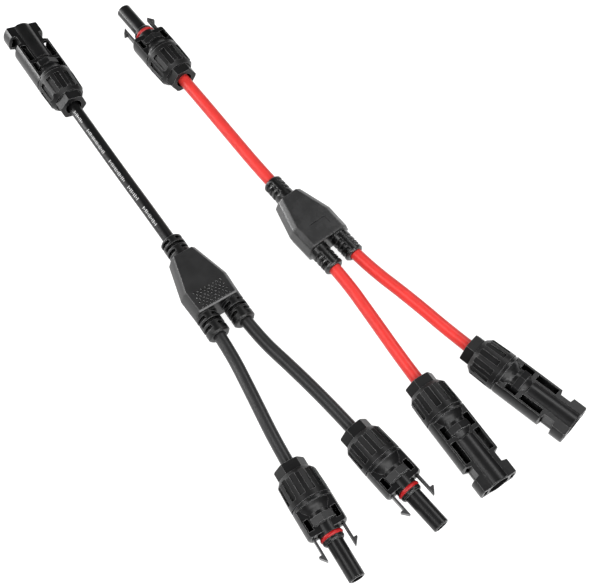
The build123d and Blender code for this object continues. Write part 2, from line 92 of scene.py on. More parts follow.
@dataclass
class Wire:
    """One node socket that carries a number, so that sums on it read as sums."""

    finish: "Finish"
    socket: bpy.types.NodeSocket

    def _math(self, operation: str, *values: Any) -> "Wire":
        """Adds a Math node.

        Args:
            operation: the node's operation.
            values: wires or plain numbers for its inputs.

        Returns:
            The node's output.
        """
        node = self.finish.node("ShaderNodeMath", {"operation": operation})
        for socket, value in zip(node.inputs, values):
            self.finish.plug(socket, value)
        return Wire(self.finish, node.outputs[0])

    def __add__(self, other: Any) -> "Wire":
        """Sum."""
        return self._math("ADD", self, other)

    def __radd__(self, other: Any) -> "Wire":
        """Sum, number first."""
        return self._math("ADD", other, self)

    def __sub__(self, other: Any) -> "Wire":
        """Difference."""
        return self._math("SUBTRACT", self, other)

    def __rsub__(self, other: Any) -> "Wire":
        """Difference, number first."""
        return self._math("SUBTRACT", other, self)

    def __mul__(self, other: Any) -> "Wire":
        """Product."""
        return self._math("MULTIPLY", self, other)

    def __rmul__(self, other: Any) -> "Wire":
        """Product, number first."""
        return self._math("MULTIPLY", other, self)

    def abs(self) -> "Wire":
        """Size without sign."""
        return self._math("ABSOLUTE", self)

    def most(self, other: Any) -> "Wire":
        """The larger of two."""
        return self._math("MAXIMUM", self, other)

    def step(self, low: float, high: float) -> "Wire":
        """Smooth change from 0 at low to 1 at high.

        Args:
            low: value at which the result leaves 0.
            high: value at which the result reaches 1.

        Returns:
            The result, from 0 to 1.
        """
        node = self.finish.node("ShaderNodeMapRange", {"interpolation_type": "SMOOTHSTEP"},
                                Value=self, From_Min=low, From_Max=high)
        return Wire(self.finish, node.outputs["Result"])


class Finish:
    """A material under construction: its tree, its main shader and helpers that add nodes."""

    def __init__(self, name: str) -> None:
        """Starts an empty material.

        Args:
            name: the material's name.
        """
        self.material = bpy.data.materials.new(name)
        self.material.use_nodes = True
        self.tree = self.material.node_tree
        self.shader = self.tree.nodes["Principled BSDF"]

    def node(self, kind: str, settings: dict[str, Any] | None = None,
             **inputs: Any) -> bpy.types.Node:
        """Adds one node.

        Args:
            kind: the node's type name.
            settings: attributes of the node, set before its sockets.
            inputs: values or wires for its sockets, with _ for a space in a socket's name.

        Returns:
            The node.
        """
        node = self.tree.nodes.new(kind)
        for key, value in (settings or {}).items():
            setattr(node, key, value)
        for key, value in inputs.items():
            self.plug(node.inputs[key.replace("_", " ")], value)
        return node

    def plug(self, socket: bpy.types.NodeSocket, value: Any) -> None:
        """Sets or links one socket.

        Args:
            socket: the input socket.
            value: a number, a colour, a Wire or an output socket.
        """
        if isinstance(value, Wire):
            self.tree.links.new(value.socket, socket)
        elif isinstance(value, bpy.types.NodeSocket):
            self.tree.links.new(value, socket)
        else:
            socket.default_value = value

    def place(self) -> bpy.types.NodeSocket:
        """Object coordinates, in metres."""
        return self.node("ShaderNodeTexCoord").outputs["Object"]

    def noise(self, size_mm: float, detail: float = 3.0, roughness: float = 0.55) -> Wire:
        """Noise with features of a given size.

        Args:
            size_mm: rough size of one patch.
            detail: octaves.
            roughness: weight of the finer octaves.

        Returns:
            The noise value, about 0.5 on average.
        """
        texture = self.node("ShaderNodeTexNoise", None, Vector=self.place(),
                            Scale=1.0 / (size_mm * MM), Detail=detail, Roughness=roughness)
        return Wire(self, texture.outputs["Factor" if "Factor" in texture.outputs else "Fac"])

    def blend(self, mask: Wire, first: Any, second: Any) -> bpy.types.NodeSocket:
        """Mixes two colours.

        Args:
            mask: 0 for the first, 1 for the second.
            first: linear colour, or the socket of one.
            second: linear colour, or the socket of one.

        Returns:
            The mixed colour.
        """
        mix = self.node("ShaderNodeMix", {"data_type": "RGBA"})
        for socket, colour in zip([s for s in mix.inputs if s.type == "RGBA"], (first, second)):
            made = isinstance(colour, bpy.types.NodeSocket)
            self.plug(socket, colour if made else (*colour, 1.0))
        self.plug(mix.inputs["Factor"], mask)
        return next(s for s in mix.outputs if s.type == "RGBA")

    def patches(self, noise: Wire, span: Span, colour: Colour3, scale: float,
                lift: float = 0.0) -> bpy.types.NodeSocket:
        """Turns a colour in patches to a paler or darker shade of itself.

        Args:
            noise: where the patches are.
            span: values of the noise between which the shade comes in.
            colour: linear colour outside the patches.
            scale: what the shade multiplies it by.
            lift: what the shade adds to it.

        Returns:
            The colour.
        """
        shade = tuple(min(1.0, scale * part + lift) for part in colour)
        return self.blend(noise.step(*span), colour, shade)

    def edges(self, radius_mm: float) -> tuple[bpy.types.NodeSocket, Wire]:
        """Softly rounded edges.

        Args:
            radius_mm: radius by which sharp edges look rounded.

        Returns:
            The rounded normal, and a mask that is 0 on flats and rises along sharp edges.
        """
        bevel = self.node("ShaderNodeBevel", {"samples": SHADER_SAMPLES}, Radius=radius_mm * MM)
        rounded = bevel.outputs["Normal"]
        facing = self.node("ShaderNodeNewGeometry").outputs["Normal"]
        product = self.node("ShaderNodeVectorMath", {"operation": "DOT_PRODUCT"})
        self.plug(product.inputs[0], rounded)
        self.plug(product.inputs[1], facing)
        return rounded, 1.0 - Wire(self, product.outputs["Value"])

    def relief(self, height: Wire, depth_mm: float,
               normal: bpy.types.NodeSocket | None = None) -> None:
        """Gives the surface a bump.

        Args:
            height: from 0 to 1.
            depth_mm: depth of the bump.
            normal: the normal that it starts from, where it isn't the plain one.
        """
        bump = self.node("ShaderNodeBump", None, Strength=1.0, Distance=depth_mm * MM,
                         Height=height)
        if normal is not None:
            self.plug(bump.inputs["Normal"], normal)
        self.plug(self.shader.inputs["Normal"], bump.outputs["Normal"])

    def hollows(self, reach_mm: float) -> Wire:
        """Where the surface lies in a slot or corner.

        Args:
            reach_mm: how near a neighbouring surface has to be to count.

        Returns:
            0 in the open, towards 1 deep in a slot.
        """
        nearby = self.node("ShaderNodeAmbientOcclusion", {"samples": SHADER_SAMPLES},
                           Distance=reach_mm * MM)
        return 1.0 - Wire(self, nearby.outputs["AO"])

    def shade(self, mask: Wire) -> None:
        """Paints shade: mixes in a black shader, so that part of the surface sends back no light.

        Args:
            mask: 1 where nothing comes back.
        """
        dark = self.node("ShaderNodeBsdfPrincipled", None, Base_Color=PAINTED_SHADE_BLACK, Roughness=1.0,
                         Specular_IOR_Level=0.0)
        mix = self.node("ShaderNodeMixShader")
        self.plug(mix.inputs[0], mask)
        self.plug(mix.inputs[1], self.shader.outputs["BSDF"])
        self.plug(mix.inputs[2], dark.outputs["BSDF"])
        self.plug(self.tree.nodes["Material Output"].inputs["Surface"], mix.outputs["Shader"])

    def axes(self, origin: Vector, heading: float) -> tuple[Wire, Wire, Wire]:
        """Object coordinates from a piece's own origin and heading.

        Args:
            origin: the piece's origin, in metres.
            heading: the turn of its X axis about Z, in radians.

        Returns:
            The three coordinates, in metres.
        """
        turned = self.node("ShaderNodeMapping", {"vector_type": "TEXTURE"}, Vector=self.place(),
                           Location=tuple(origin), Rotation=(0.0, 0.0, heading))
        parts = self.node("ShaderNodeSeparateXYZ", None, Vector=turned.outputs["Vector"])
        return tuple(Wire(self, parts.outputs[axis]) for axis in "XYZ")

    def set(self, **values: Any) -> None:
        """Sets sockets of the main shader.

        Args:
            values: value or wire by socket name, with _ for a space.
        """
        for key, value in values.items():
            self.plug(self.shader.inputs[key.replace("_", " ")], value)


# ---------------------------------------------------------------- finishes
# Fields that end in _mm are in millimetres. A Span is where a soft change starts and where it ends.
# A dip is what the roughness loses where the noises that add to it are 0.

@dataclass(frozen=True)
class EngravedLine:
    """A straight shallow groove on top of a branch body, along or across it, in millimetres."""

    centre: tuple[float, float]
    half: tuple[float, float]
    soft: float = 0.12

    def mask(self, along: Wire, across: Wire) -> Wire:
        """Where the groove is.

        Args:
            along: coordinate along the body, in metres.
            across: coordinate across it, in metres.

        Returns:
            1 in the groove, 0 elsewhere.
        """
        sides = []
        for place, middle, reach in zip((along, across), self.centre, self.half):
            beyond = (place - middle * MM).abs()
            sides.append(1.0 - beyond.step((reach - self.soft) * MM, (reach + self.soft) * MM))
        return sides[0] * sides[1]


@dataclass(frozen=True)
class BranchMarks:
    """What a branch body's finish owes to its place: painted shade on the necks,
    a painted highlight on the rim, and engraved lines that get painted shade.

    Its axes start at the middle of the body's narrow end, with X along the body. The neck highlight
    cut is the share of the painted edge highlight that the necks lose, and grooves are so many
    times as deep as the pits.
    """

    origin: Point
    heading: float
    span_mm: float
    top_mm: float
    rim_highlight: float
    grooves: tuple[EngravedLine, ...]
    neck_shade_colour: Colour3 = (0.004, 0.004, 0.0041)
    neck_fade_mm: float = 0.2
    neck_highlight_cut: float = 0.6
    rim_inset_mm: float = 0.45
    rim_half_mm: Span = (0.35, 0.50)
    rim_drop_mm: Span = (0.75, 0.45)
    groove_shade: float = 0.65
    groove_depth: float = 12.0

    def necks(self, along: Wire) -> Wire:
        """Mask of the necks, from the coordinate along the body."""
        half = self.span_mm / 2
        return (along - half * MM).abs().step((half - self.neck_fade_mm) * MM, half * MM)

    def rim(self, along: Wire, above: Wire) -> Wire:
        """Where the rim at the wide end gets a painted highlight.

        Args:
            along: coordinate along the body, in metres.
            above: height over its middle plane, in metres.

        Returns:
            The painted highlight, 0 away from the rim.
        """
        near, far = (reach * MM for reach in self.rim_half_mm)
        band = 1.0 - (along - (self.span_mm - self.rim_inset_mm) * MM).abs().step(near, far)
        low, high = ((self.top_mm - drop) * MM for drop in self.rim_drop_mm)
        return band * above.step(low, high) * self.rim_highlight

    def cut(self, along: Wire, across: Wire) -> Wire | None:
        """Mask of all the engraved lines, if there are any.

        Args:
            along: coordinate along the body, in metres.
            across: coordinate across it, in metres.

        Returns:
            1 in a groove, 0 elsewhere.
        """
        masks = [line.mask(along, across) for line in self.grooves]
        return reduce(Wire.most, masks) if masks else None


@dataclass(frozen=True)
class MouldedPlastic:
    """Glass-filled nylon out of a spark-eroded mould: pitted and dark.

    Its sharp edges are lightened with a painted highlight, and its slots and corners get painted
    shade.
    """

    name: str
    colour: Colour3
    roughness: float = 0.42
    dip: float = 0.07
    gloss: float = 0.5
    pit_mm: float = 0.16
    pit_depth_mm: float = 0.010
    pit_dull: float = 0.06
    cloud_mm: float = 7.0
    cloud_span: Span = (0.3, 0.7)
    cloud_scale: float = 1.30
    cloud_lift: float = 0.001
    cloud_dull: float = 0.08
    edge_mm: float = 0.22
    edge_highlight_colour: Colour3 = (0.36, 0.36, 0.36)
    edge_span: Span = (0.008, 0.13)
    edge_even: float = 0.5
    edge_highlight_strength: float = 1.0
    shade_reach_mm: float = 6.0
    shade_span: Span = (0.40, 0.65)
    marks: BranchMarks | None = None

    def make(self) -> bpy.types.Material:
        """Builds the material.

        Returns:
            The material.
        """
        finish = Finish(self.name)
        clouds = finish.noise(self.cloud_mm, detail=2.0)
        height = pits = finish.noise(self.pit_mm, detail=2.0)
        rounded, edge = finish.edges(self.edge_mm)
        plain = finish.patches(clouds, self.cloud_span, self.colour, self.cloud_scale,
                               self.cloud_lift)
        patchy = clouds * (1.0 - self.edge_even) + self.edge_even
        # Painted highlight: the colour turns pale grey along sharp edges, in patches.
        wear_and_edge_highlight = edge.step(*self.edge_span) * patchy * self.edge_highlight_strength
        # Painted shade: slots and corners found by ambient occlusion are turned black.
        painted_shade = finish.hollows(self.shade_reach_mm).step(*self.shade_span)
        if self.marks:
            along, across, above = finish.axes(Vector(self.marks.origin), self.marks.heading)
            necks = self.marks.necks(along)
            # Painted shade: the necks and the end wall between them take a near-black colour.
            plain = finish.blend(necks, plain, self.marks.neck_shade_colour)
            # The painted edge highlight is weakened on the necks.
            wear_and_edge_highlight = wear_and_edge_highlight * (1.0 - necks * self.marks.neck_highlight_cut)
            # Painted highlight: the rim at the wide end is lightened like the edges.
            wear_and_edge_highlight = wear_and_edge_highlight.most(self.marks.rim(along, above))
            cut = self.marks.cut(along, across)
            if cut:
                # Painted shade: the engraved lines are partly turned black.
                painted_shade = painted_shade.most(cut * self.marks.groove_shade)
                height = pits - cut * self.marks.groove_depth
        finish.set(Base_Color=finish.blend(wear_and_edge_highlight, plain, self.edge_highlight_colour),
                   Roughness=clouds * self.cloud_dull + pits * self.pit_dull
                   + (self.roughness - self.dip),
                   Specular_IOR_Level=self.gloss)
        finish.relief(height, self.pit_depth_mm, rounded)
        finish.shade(painted_shade)
        return finish.material


@dataclass(frozen=True)
class CableSheath:
    """Extruded cross-linked sheath: smooth, with a faint grain and handling marks."""

    name: str
    colour: Colour3
    roughness: float = 0.34
    dip: float = 0.07
    gloss: float = 0.33
    mark_mm: float = 4.0
    mark_span: Span = (0.25, 0.75)
    mark_scale: float = 1.12
    mark_lift: float = 0.001
    mark_dull: float = 0.10
    grain_mm: float = 0.35
    grain_dull: float = 0.05
    grain_depth_mm: float = 0.008

    def make(self) -> bpy.types.Material:
        """Builds the material.

        Returns:
            The material.
        """
        finish = Finish(self.name)
        marks = finish.noise(self.mark_mm)
        grain = finish.noise(self.grain_mm)
        finish.set(Base_Color=finish.patches(marks, self.mark_span, self.colour, self.mark_scale,
                                             self.mark_lift),
                   Roughness=marks * self.mark_dull + grain * self.grain_dull
                   + (self.roughness - self.dip),
                   Specular_IOR_Level=self.gloss)
        finish.relief(grain, self.grain_depth_mm)
        return finish.material


@dataclass(frozen=True)
class SoftRubber:
    """Silicone or seal rubber: even colour, soft highlight and a dusty bloom."""

    name: str
    colour: Colour3
    roughness: float = 0.5
    dip: float = 0.08
    refraction: float = 1.45
    bloom_mm: float = 1.2
    bloom_span: Span = (0.5, 0.9)
    bloom_scale: float = 0.85
    bloom_lift: float = 0.03
    bloom_dull: float = 0.15
    bloom_depth_mm: float = 0.008

    def make(self) -> bpy.types.Material:
        """Builds the material.

        Returns:
            The material.
        """
        finish = Finish(self.name)
        bloom = finish.noise(self.bloom_mm, detail=4.0)
        finish.set(Base_Color=finish.patches(bloom, self.bloom_span, self.colour, self.bloom_scale,
                                             self.bloom_lift),
                   Roughness=bloom * self.bloom_dull + (self.roughness - self.dip),
                   IOR=self.refraction)
        finish.relief(bloom, self.bloom_depth_mm)
        return finish.material


@dataclass(frozen=True)
class PlatedContact:
    """Tin-plated copper alloy, turned, with fine turning marks."""

    name: str
    colour: Colour3
    roughness: float = 0.28
    dip: float = 0.12
    edge_mm: float = 0.08
    stain_mm: float = 1.5
    stain_span: Span = (0.45, 0.8)
    stain_scale: float = 0.72
    stain_dull: float = 0.15
    turning_mm: float = 0.12
    turning_dull: float = 0.1
    turning_depth_mm: float = 0.006

    def make(self) -> bpy.types.Material:
        """Builds the material.

        Returns:
            The material.
        """
        finish = Finish(self.name)
        stains = finish.noise(self.stain_mm, detail=4.0)
        turning = finish.noise(self.turning_mm, detail=2.0)
        finish.set(Base_Color=finish.patches(stains, self.stain_span, self.colour,
                                             self.stain_scale),
                   Metallic=1.0,
                   Roughness=stains * self.stain_dull + turning * self.turning_dull
                   + (self.roughness - self.dip))
        finish.relief(turning, self.turning_depth_mm, finish.edges(self.edge_mm)[0])
        return finish.material


@dataclass(frozen=True)
class StrandedCopper:
    """Bare conductor of fine strands."""

    name: str
    colour: Colour3
    smoothest: float = 0.25
    strand_mm: float = 0.3
    strand_span: Span = (0.35, 0.65)
    strand_depth_mm: float = 0.05
    tarnish_mm: float = 2.5
    tarnish_span: Span = (0.4, 0.8)
    tarnish_scale: float = 0.55
    tarnish_dull: float = 0.2

    def make(self) -> bpy.types.Material:
        """Builds the material.

        Returns:
            The material.
        """
        finish = Finish(self.name)
        strands = finish.noise(self.strand_mm, detail=1.0)
        tarnish = finish.noise(self.tarnish_mm)
        finish.set(Base_Color=finish.patches(tarnish, self.tarnish_span, self.colour,
                                             self.tarnish_scale),
                   Metallic=1.0, Roughness=tarnish * self.tarnish_dull + self.smoothest)
        finish.relief(strands.step(*self.strand_span), self.strand_depth_mm)
        return finish.material


@dataclass(frozen=True)
class PrintInk:
    """Pale ink of the print line on a sheath, rubbed thin in places."""

    name: str
    colour: Colour3
    smoothest: float = 0.5
    rub_mm: float = 0.5
    rub_span: Span = (0.4, 0.7)
    rub_scale: float = 0.45
    rub_dull: float = 0.1

    def make(self) -> bpy.types.Material:
        """Builds the material.

        Returns:
            The material.
        """
        finish = Finish(self.name)
        wear_and_edge_highlight = finish.noise(self.rub_mm)
        finish.set(Base_Color=finish.patches(wear_and_edge_highlight, self.rub_span, self.colour, self.rub_scale),
                   Roughness=wear_and_edge_highlight * self.rub_dull + self.smoothest)
        return finish.material


class Palette:
    """Every finish, made once, and the one that each kind of node takes."""

    def __init__(self, leads: Sequence["Lead"]) -> None:
        """Makes the materials.

        Args:
            leads: the leads, for the places of their branch bodies.
        """
        self.housing = MouldedPlastic("housing_nylon", (0.006, 0.006, 0.0063),
                                      roughness=0.32, gloss=0.32).make()
        self.nut = MouldedPlastic("nut_nylon", (0.008, 0.008, 0.0082),
                                  roughness=0.38, gloss=0.20).make()
        self.grip = MouldedPlastic("polished_grip", (0.004, 0.004, 0.0041),
                                   roughness=0.22, gloss=0.9).make()
        # Painted sheen: the latch arms take a paler black than the housing so that they look lit.
        self.latch = MouldedPlastic("latch_painted_sheen", (0.040, 0.040, 0.041),
                                    roughness=0.30, gloss=0.4).make()
        self.claw = MouldedPlastic("claw_nylon", (0.035, 0.035, 0.037), roughness=0.45).make()
        self.branch: dict[LeadColour, bpy.types.Material] = {}
        self.sheath: dict[tuple[LeadColour, Arm], bpy.types.Material] = {}
        for lead in leads:
            self.branch[lead.colour] = lead.body_finish().make()
            for arm, colour in ((Arm.TRUNK, lead.trunk_colour), (Arm.LEFT, lead.leg_colour)):
                name = f"{lead.colour.value}_{arm.value}_sheath"
                self.sheath[lead.colour, arm] = CableSheath(name, colour).make()
            self.sheath[lead.colour, Arm.RIGHT] = self.sheath[lead.colour, Arm.LEFT]
        self.ring = SoftRubber("red_silicone", (0.42, 0.006, 0.008), roughness=0.42).make()
        self.seal = SoftRubber("seal_rubber", (0.07, 0.07, 0.075), roughness=0.6).make()
        self.contact = PlatedContact("tinned_contact", (0.80, 0.78, 0.74)).make()
        self.copper = StrandedCopper("stranded_copper", (0.86, 0.45, 0.28)).make()
        self.ink = PrintInk("print_ink", (0.80, 0.80, 0.80)).make()

    def for_node(self, node: str) -> bpy.types.Material:
        """The finish of a construction node.

        Args:
            node: the node's name.

        Returns:
            Its material.
        """
        lead = LeadColour(node.split("_")[0])
        endings = {
            "gland_nut": self.nut, "clamp_claw": self.claw, "cable_seal": self.seal,
            "housing": self.housing, "latch_arm_a": self.latch, "latch_arm_b": self.latch,
            "pin_contact": self.contact, "socket_contact": self.contact, "o_ring": self.ring,
            "conductor": self.copper, "splice_ferrule": self.copper,
            "branch_body": self.branch[lead],
        }
        for ending, material in endings.items():
            if node.endswith(ending):
                return material
        return self.sheath[lead, Arm(node.split("_")[1])]


# ---------------------------------------------------------------- mesh helpers

def mesh_piece(name: str, shape: bmesh.types.BMesh, material: bpy.types.Material, body: str,
               smooth: bool = True) -> bpy.types.Object:
    """Turns a finished bmesh into a piece that rides on a body.

    Args:
        name: the piece's name.
        shape: the mesh, in place; it is freed.
        material: its finish.
        body: the construction body that it moves with.
        smooth: whether its faces are shaded smooth.

    Returns:
        The object.
    """
    mesh = bpy.data.meshes.new(name)
    shape.to_mesh(mesh)
    shape.free()
    for polygon in mesh.polygons:
        polygon.use_smooth = smooth
    mesh.materials.append(material)
    piece = bpy.data.objects.new(name, mesh)
    bpy.context.scene.collection.objects.link(piece)
    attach(piece, body)
    return piece


def dress_node(node: bpy.types.Object, material: bpy.types.Material) -> None:
    """Gives a construction node its finish, and smooth shading between its real edges.

    Args:
        node: the node's object.
        material: its finish.
    """
    node.data.materials.clear()
    node.data.materials.append(material)
    for polygon in node.data.polygons:
        polygon.use_smooth = True
    weld = node.modifiers.new("weld", "WELD")
    weld.merge_threshold = WELD_REACH
    split = node.modifiers.new("edges", "EDGE_SPLIT")
    split.split_angle = CREASE


# ---------------------------------------------------------------- connectors

@dataclass
class Connector:
    """One latching gland connector: its place comes from the joint of its nut."""

    colour: LeadColour
    arm: Arm
    half: Half
    nut_centre: float = -9.6 * MM
    spigot_length: float = 8.2 * MM
    spigot_r: float = 7.3 * MM
    thread_height: float = 0.40 * MM
    thread_pitch: float = 2.0 * MM
    thread_sink: float = 0.05 * MM
    thread_foot: float = 0.36
    thread_crest: float = 0.12
    thread_steps: int = 30

    @property
    def name(self) -> str:
        """Name that its nodes start with."""
        return f"{self.colour.value}_{self.arm.value}"

    def place(self) -> Matrix:
        """Frame of the connector: X towards the mating end, origin at the nut's seam.

        Returns:
            The matrix from this frame to the scene's.
        """
        joint = next(j for j in frame["joints"] if j["name"] == f"{self.name}_nut_turn")
        forward = -Vector(joint["axis"])
        origin = Vector(joint["pos_m"]) - forward * self.nut_centre
        side = UP.cross(forward).normalized()
        turn = Matrix((forward, side, forward.cross(side))).transposed()
        return Matrix.Translation(origin) @ turn.to_4x4()

    def thread(self, palette: Palette) -> bpy.types.Object:
        """Screw thread on the housing's spigot, seen when the nut is undone.

        Its foot and crest are half widths, in shares of the pitch.

        Args:
            palette: the finishes.

        Returns:
            The object.
        """
        shape = bmesh.new()
        turns = (self.spigot_length - self.thread_pitch) / self.thread_pitch
        foot, crest = self.thread_foot * self.thread_pitch, self.thread_crest * self.thread_pitch
        root = self.spigot_r - self.thread_sink
        start = -self.spigot_length + self.thread_pitch / 2
        profile = [(start - foot, root), (start - crest, self.spigot_r + self.thread_height),
                   (start + crest, self.spigot_r + self.thread_height), (start + foot, root)]
        corners = [shape.verts.new((x, 0, r)) for x, r in profile]
        edges = [shape.edges.new(pair) for pair in zip(corners, corners[1:])]
        edges.append(shape.edges.new((corners[-1], corners[0])))
        steps = round(self.thread_steps * turns)
        result = bmesh.ops.spin(shape, geom=corners + edges, axis=(1, 0, 0), cent=(0, 0, 0),
                                dvec=(turns * self.thread_pitch / steps, 0, 0),
                                angle=2 * math.pi * turns, steps=steps, use_duplicate=False)
        last = [e for e in result["geom_last"] if isinstance(e, bmesh.types.BMEdge)]
        for ring in (edges, last):
            bmesh.ops.holes_fill(shape, edges=ring, sides=len(edges))
        bmesh.ops.recalc_face_normals(shape, faces=shape.faces)
        bmesh.ops.transform(shape, matrix=self.place(), verts=shape.verts)
        piece = mesh_piece(f"{self.name}_spigot_thread", shape, palette.housing, "leads",
                           smooth=False)
        return piece

    def build(self, palette: Palette) -> list[bpy.types.Object]:
        """Builds the pieces that the construction model leaves out."""
        LOG.info("%s connector: %s", self.name, self.half.value)
        return [self.thread(palette)]


# ---------------------------------------------------------------- leads

@dataclass(frozen=True)
class GripField:
    """Staggered rows of small domes on top of a branch body, for grip."""

    first_row: float = 22.0 * MM
    row_pitch: float = 1.37 * MM
    dome_pitch: float = 2.03 * MM
    rows: int = 7
    longest: int = 8
    radius: float = 0.55 * MM
    rise: float = 0.45 * MM
    rounds: int = 2

    def build(self, lead: "Lead", palette: Palette) -> bpy.types.Object:
        """Builds the domes.

        Args:
            lead: the lead whose branch body they are on.
            palette: the finishes.

        Returns:
            The object.
        """
        origin, heading = lead.body_axes()
        place = (Matrix.Translation(origin) @ Matrix.Rotation(heading, 4, "Z")
                 @ Matrix.Translation((0, 0, lead.body_thick / 2)))
        squat = Matrix.Diagonal((1, 1, self.rise / self.radius, 1))
        shape = bmesh.new()
        for row in range(self.rows):
            count = self.longest - row % 2
            for column in range(count):
                at = Vector((self.first_row + row * self.row_pitch,
                             (column - (count - 1) / 2) * self.dome_pitch, 0))
                bmesh.ops.create_icosphere(shape, subdivisions=self.rounds, radius=self.radius,
                                           matrix=place @ Matrix.Translation(at) @ squat)
        name = lead.colour.value
        piece = mesh_piece(f"{name}_grip_domes", shape, palette.grip, "leads")
        return piece


@dataclass(frozen=True)
class PrintLine:
    """Plain ink strokes along a cable, in groups, as a print line looks from afar.

    A group is the span of Y, in metres, that it fills. In each beat the second stroke is short.
    """

    arm: Arm
    groups: tuple[tuple[float, float], ...]
    turn: float = math.radians(36)
    pitch: float = 1.02 * MM
    tall: float = 1.6 * MM
    short: float = 0.8 * MM
    width: float = 0.42 * MM
    proud: float = 0.03 * MM
    bends: int = 4
    beat: int = 3
    fewest: int = 2

    def stroke(self, shape: bmesh.types.BMesh, middle: Vector, along: Vector, radius: float,
               height: float) -> None:
        """Adds one stroke, wrapped round the sheath.

        Args:
            shape: the mesh that it joins.
            middle: point on the cable's centre line.
            along: direction of the cable there.
            radius: radius of the sheath.
            height: length of the stroke round the sheath.
        """
        left = UP.cross(along).normalized()
        left = left if left.x < 0 else -left
        up = left.cross(along)
        up = up if up.z > 0 else -up
        patch = bmesh.ops.create_grid(shape, x_segments=1, y_segments=self.bends, size=0.5)["verts"]
        for vertex in patch:
            angle = self.turn + vertex.co.y * height / radius
            out = up * math.cos(angle) + left * math.sin(angle)
            vertex.co = middle + along * (vertex.co.x * self.width) + out * (radius + self.proud)

    def build(self, lead: "Lead", palette: Palette) -> bpy.types.Object:
        """Builds the strokes.

        Args:
            lead: the lead that carries the cable.
            palette: the finishes.

        Returns:
            The object.
        """
        line = lead.centreline(self.arm)
        shape = bmesh.new()
        for first, last in self.groups:
            count = max(self.fewest, round((last - first) / self.pitch))
            for index in range(count):
                y = last - index * self.pitch
                start, end = next(pair for pair in zip(line, line[1:])
                                  if min(pair[0].y, pair[1].y) <= y <= max(pair[0].y, pair[1].y))
                share = (y - start.y) / (end.y - start.y)
                height = self.short if index % self.beat == 1 else self.tall
                self.stroke(shape, start.lerp(end, share), (end - start).normalized(),
                            lead.diameter / 2, height)
        bmesh.ops.solidify(shape, geom=list(shape.faces), thickness=self.proud)
        bmesh.ops.recalc_face_normals(shape, faces=shape.faces)
        piece = mesh_piece(f"{lead.colour.value}_{self.arm.value}_print", shape, palette.ink,
                           "leads")
        return piece


